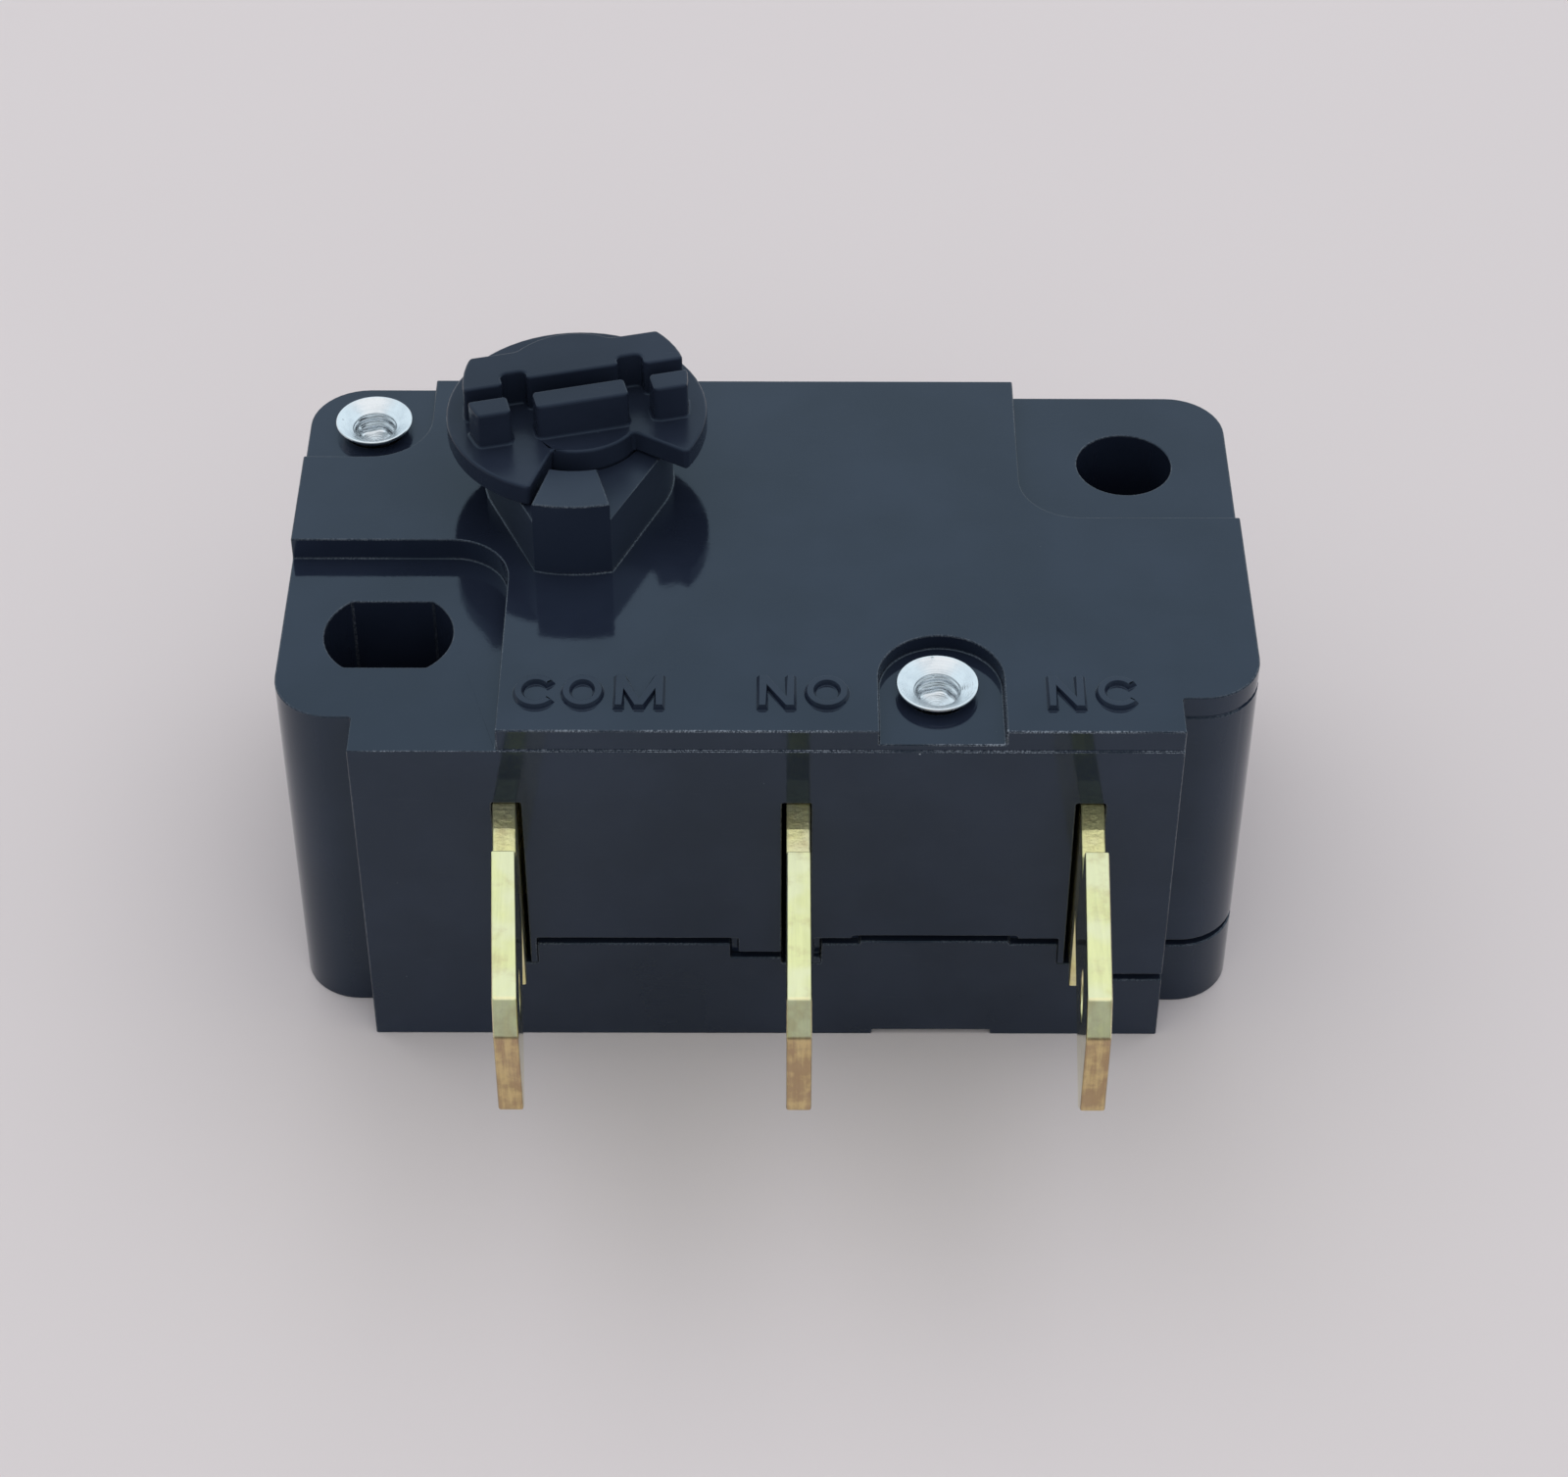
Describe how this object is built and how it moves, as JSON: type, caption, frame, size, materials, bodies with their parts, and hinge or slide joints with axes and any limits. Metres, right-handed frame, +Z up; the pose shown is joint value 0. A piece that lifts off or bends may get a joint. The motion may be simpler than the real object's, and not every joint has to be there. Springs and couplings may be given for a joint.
{
  "type": "micro switch",
  "caption": "Black snap-action micro switch with a turning knob on top, tubular rivets, a round and a slotted mounting hole, and a row of brass blade terminals.",
  "frame": {"origin": "centre of the underside, between the two long sides and the two ends of the case", "axes": "+X along the case towards the normally closed terminal, +Y from the terminals to the back, +Z up"},
  "size_m": [0.031, 0.028, 0.0179],
  "materials": {
    "case_black": "polished",
    "cover_black": "polished",
    "knob_black": "satin",
    "rivet_metal": "satin",
    "terminal_brass": "satin",
    "contact_silver": "satin",
    "arm_brass": "satin",
    "lever_grey": "matte",
    "spring_steel": "satin"
  },
  "bodies": {
    "housing": {"case": "case_black", "cover": "cover_black", "rivets": "rivet_metal", "com_terminal": "terminal_brass", "no_terminal": "terminal_brass", "nc_terminal": "terminal_brass", "no_contact": "contact_silver", "nc_contact": "contact_silver"},
    "turning_knob": {"knob": "knob_black"},
    "lever": {"actuating_lever": "lever_grey"},
    "arm": {"contact_arm": "arm_brass", "moving_contact": "contact_silver", "tension_spring": "spring_steel"}
  },
  "joints": [
    {"name": "knob_turn", "type": "hinge", "parent": "housing", "child": "turning_knob", "pos_m": [-0.00622, 0.0035, 0.01572], "axis": [0, 0, 1], "range_deg": [-43, 0], "stiffness_Nm_per_rad": 0.005},
    {"name": "lever_swing", "type": "hinge", "parent": "housing", "child": "lever", "pos_m": [0.0012, 0.00315, 0.0071], "axis": [0, 0, 1], "range_deg": [0, 10.1]},
    {"name": "arm_flip", "type": "hinge", "parent": "housing", "child": "arm", "pos_m": [-0.00495, -0.0016, 0.0071], "axis": [0, 0, 1], "range_deg": [-5.2, 0], "deforming": ["tension_spring"]}
  ],
  "couplings": [
    {"joint": "lever_swing", "follows": "knob_turn", "ratio": -0.2333},
    {"joint": "arm_flip", "follows": "knob_turn", "ratio": 0.1185}
  ]
}
